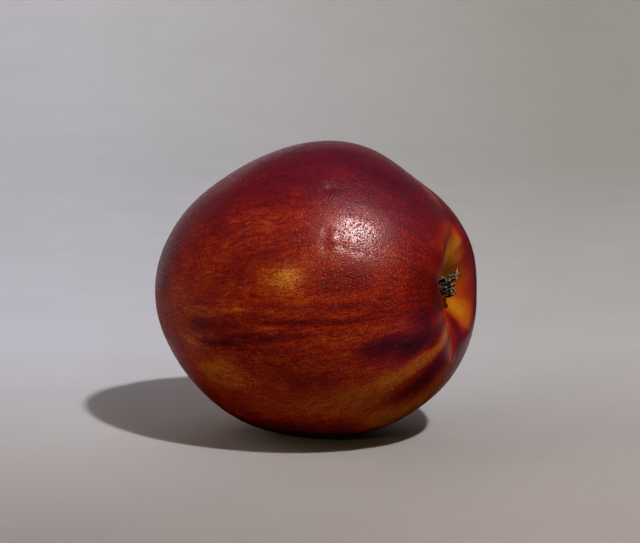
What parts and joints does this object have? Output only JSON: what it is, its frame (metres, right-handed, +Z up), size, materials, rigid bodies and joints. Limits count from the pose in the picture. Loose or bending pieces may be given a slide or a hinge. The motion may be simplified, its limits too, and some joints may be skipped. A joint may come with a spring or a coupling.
{
  "type": "nectarine",
  "caption": "Whole nectarine lying on its side: a smooth round fruit with a shallow suture, a stem cavity and the dry stub of its stalk.",
  "frame": {"origin": "on the surface that the fruit rests on, under the middle of its bounding box", "axes": "+X towards the stem end, -X towards the blossom tip, +Z up as the fruit lies on its side"},
  "size_m": [0.0734, 0.0688, 0.067],
  "materials": {
    "skin": "smooth hairless waxy fruit skin, red-orange blush over golden ground, satin gloss with fine speckle",
    "dry_stalk": "dry rough broken stalk, matt dark brown with pale fibrous edges"
  },
  "bodies": {
    "root": {"fruit": "skin", "stem_stub": "dry_stalk"}
  },
  "joints": []
}
